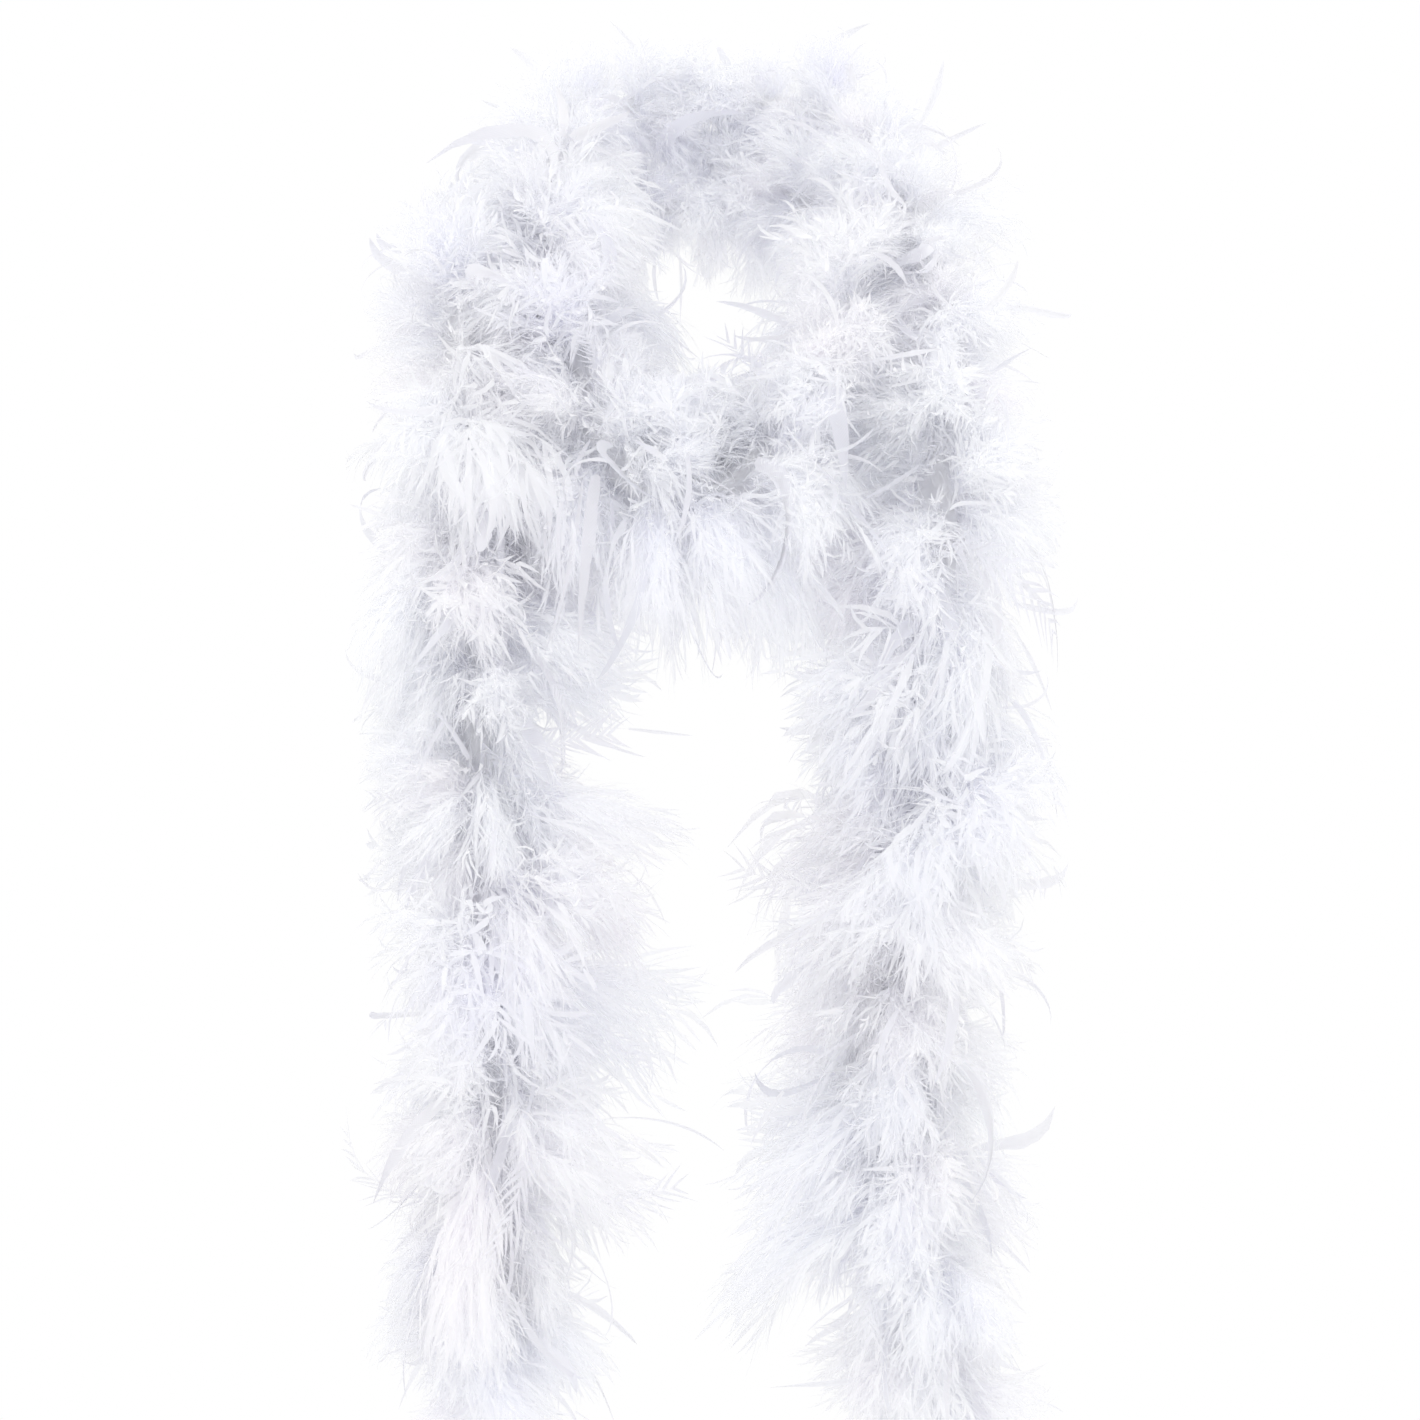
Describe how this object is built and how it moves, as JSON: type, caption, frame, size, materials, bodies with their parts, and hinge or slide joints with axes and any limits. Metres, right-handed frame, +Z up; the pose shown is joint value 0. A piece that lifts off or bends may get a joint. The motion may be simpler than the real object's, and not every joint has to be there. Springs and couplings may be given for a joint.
{
  "type": "feather boa",
  "caption": "Full white feather boa wound one and a half times round a neck, with a swag across the chest and a long tail hanging each side.",
  "frame": {"origin": "centre of the wearer's neck at its base, level with the tops of the shoulders, which is what holds the boa up", "axes": "+Z up, +X to the right as seen from the front, the wearer faces -Y"},
  "size_m": [0.3991, 0.2922, 0.8483],
  "materials": {
    "feathers": "matte",
    "core_cord": "matte",
    "binding_thread": "matte"
  },
  "bodies": {
    "collar": {"core_cord_lower_wrap": "core_cord", "quill_binding_lower_wrap": "binding_thread", "core_cord_upper_wrap": "core_cord", "quill_binding_upper_wrap": "binding_thread", "feather_ruff_lower_wrap_1": "feathers", "feather_ruff_lower_wrap_2": "feathers", "feather_ruff_lower_wrap_3": "feathers", "feather_ruff_lower_wrap_4": "feathers", "feather_ruff_lower_wrap_5": "feathers", "feather_ruff_lower_wrap_6": "feathers", "feather_ruff_upper_wrap_1": "feathers", "feather_ruff_upper_wrap_2": "feathers", "feather_ruff_upper_wrap_3": "feathers", "feather_ruff_upper_wrap_4": "feathers", "feather_ruff_upper_wrap_5": "feathers", "feather_ruff_upper_wrap_6": "feathers"},
    "front_swag": {"core_cord_front_swag": "core_cord", "quill_binding_front_swag": "binding_thread", "feather_ruff_front_swag_1": "feathers", "feather_ruff_front_swag_2": "feathers", "feather_ruff_front_swag_3": "feathers", "feather_ruff_front_swag_4": "feathers"},
    "left_tail_upper": {"core_cord_left_tail_upper": "core_cord", "quill_binding_left_tail_upper": "binding_thread", "feather_ruff_left_tail_upper_1": "feathers", "feather_ruff_left_tail_upper_2": "feathers"},
    "left_tail_middle": {"core_cord_left_tail_middle": "core_cord", "quill_binding_left_tail_middle": "binding_thread", "feather_ruff_left_tail_middle_1": "feathers", "feather_ruff_left_tail_middle_2": "feathers"},
    "left_tail_lower": {"core_cord_left_tail_lower": "core_cord", "quill_binding_left_tail_lower": "binding_thread", "feather_ruff_left_tail_lower_1": "feathers", "feather_ruff_left_tail_lower_2": "feathers"},
    "left_tail_end": {"core_cord_left_tail_end": "core_cord", "quill_binding_left_tail_end": "binding_thread", "feather_ruff_left_tail_end_1": "feathers", "feather_ruff_left_tail_end_2": "feathers", "end_whipping_left": "binding_thread", "end_loop_left": "core_cord"},
    "right_tail_upper": {"core_cord_right_tail_upper": "core_cord", "quill_binding_right_tail_upper": "binding_thread", "feather_ruff_right_tail_upper_1": "feathers", "feather_ruff_right_tail_upper_2": "feathers"},
    "right_tail_middle": {"core_cord_right_tail_middle": "core_cord", "quill_binding_right_tail_middle": "binding_thread", "feather_ruff_right_tail_middle_1": "feathers", "feather_ruff_right_tail_middle_2": "feathers"},
    "right_tail_lower": {"core_cord_right_tail_lower": "core_cord", "quill_binding_right_tail_lower": "binding_thread", "feather_ruff_right_tail_lower_1": "feathers", "feather_ruff_right_tail_lower_2": "feathers"},
    "right_tail_end": {"core_cord_right_tail_end": "core_cord", "quill_binding_right_tail_end": "binding_thread", "feather_ruff_right_tail_end_1": "feathers", "feather_ruff_right_tail_end_2": "feathers", "end_whipping_right": "binding_thread", "end_loop_right": "core_cord"}
  },
  "joints": [
    {"name": "front_swag_swing", "type": "hinge", "parent": "collar", "child": "front_swag", "pos_m": [0, -0.06035, -0.05046], "axis": [-1, 0, 0], "range_deg": [0, 30]},
    {"name": "left_tail_upper_lift", "type": "hinge", "parent": "collar", "child": "left_tail_upper", "pos_m": [-0.13402, -0.099, -0.23721], "axis": [-1, 0, 0], "range_deg": [0, 35]},
    {"name": "left_tail_middle_swing", "type": "hinge", "parent": "left_tail_upper", "child": "left_tail_middle", "pos_m": [-0.13695, -0.099, -0.35837], "axis": [0, 1, 0], "range_deg": [-6, 30]},
    {"name": "left_tail_lower_lift", "type": "hinge", "parent": "left_tail_middle", "child": "left_tail_lower", "pos_m": [-0.13251, -0.099, -0.47723], "axis": [-1, 0, 0], "range_deg": [-10, 35]},
    {"name": "left_tail_end_swing", "type": "hinge", "parent": "left_tail_lower", "child": "left_tail_end", "pos_m": [-0.12606, -0.099, -0.59594], "axis": [0, 1, 0], "range_deg": [-6, 30]},
    {"name": "right_tail_upper_lift", "type": "hinge", "parent": "collar", "child": "right_tail_upper", "pos_m": [0.132, -0.099, -0.23814], "axis": [-1, 0, 0], "range_deg": [0, 35]},
    {"name": "right_tail_middle_swing", "type": "hinge", "parent": "right_tail_upper", "child": "right_tail_middle", "pos_m": [0.13455, -0.099, -0.35907], "axis": [0, -1, 0], "range_deg": [-6, 30]},
    {"name": "right_tail_lower_lift", "type": "hinge", "parent": "right_tail_middle", "child": "right_tail_lower", "pos_m": [0.11549, -0.099, -0.47859], "axis": [-1, 0, 0], "range_deg": [-10, 35]},
    {"name": "right_tail_end_swing", "type": "hinge", "parent": "right_tail_lower", "child": "right_tail_end", "pos_m": [0.12215, -0.099, -0.59491], "axis": [0, -1, 0], "range_deg": [-6, 30]}
  ]
}
